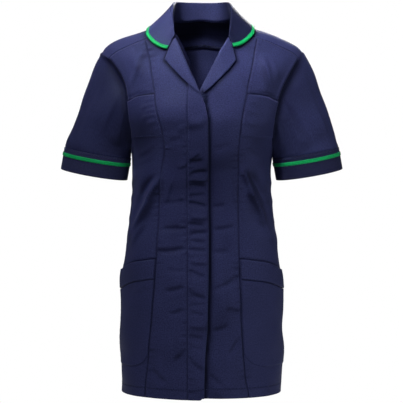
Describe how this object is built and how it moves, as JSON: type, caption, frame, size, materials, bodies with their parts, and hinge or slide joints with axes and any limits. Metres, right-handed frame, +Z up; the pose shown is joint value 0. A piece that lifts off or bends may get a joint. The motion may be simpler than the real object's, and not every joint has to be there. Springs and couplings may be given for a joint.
{
  "type": "work tunic",
  "caption": "Short-sleeved work tunic with collar, lapels and a covered front closing, chest and hip pockets, and braid on collar and sleeve ends, filled out as worn.",
  "frame": {"origin": "middle of the neck opening, level with the side of the neck, where the wearer's shoulders carry the tunic", "axes": "+Z up, the front faces -Y, +X toward the wearer's left"},
  "size_m": [0.5488, 0.256, 0.7647],
  "materials": {
    "navy_cloth": "matt polyester and cotton twill",
    "navy_band": "the same twill, double in the sleeve band",
    "green_braid": "woven braid with a slight sheen"
  },
  "bodies": {
    "root": {"back": "navy_cloth", "chest_pocket_left": "navy_cloth", "chest_pocket_right": "navy_cloth", "collar": "navy_cloth", "collar_braid": "green_braid", "cuff_braid_left": "green_braid", "cuff_braid_right": "green_braid", "cuff_left": "navy_band", "cuff_right": "navy_band", "front_centre_left": "navy_cloth", "front_centre_right": "navy_cloth", "front_placket": "navy_cloth", "front_side_left": "navy_cloth", "front_side_right": "navy_cloth", "hip_pocket_band_left": "navy_cloth", "hip_pocket_band_right": "navy_cloth", "hip_pocket_left": "navy_cloth", "hip_pocket_right": "navy_cloth", "lapel_left": "navy_cloth", "lapel_right": "navy_cloth", "sleeve_left": "navy_cloth", "sleeve_right": "navy_cloth", "yoke": "navy_cloth"}
  },
  "joints": []
}
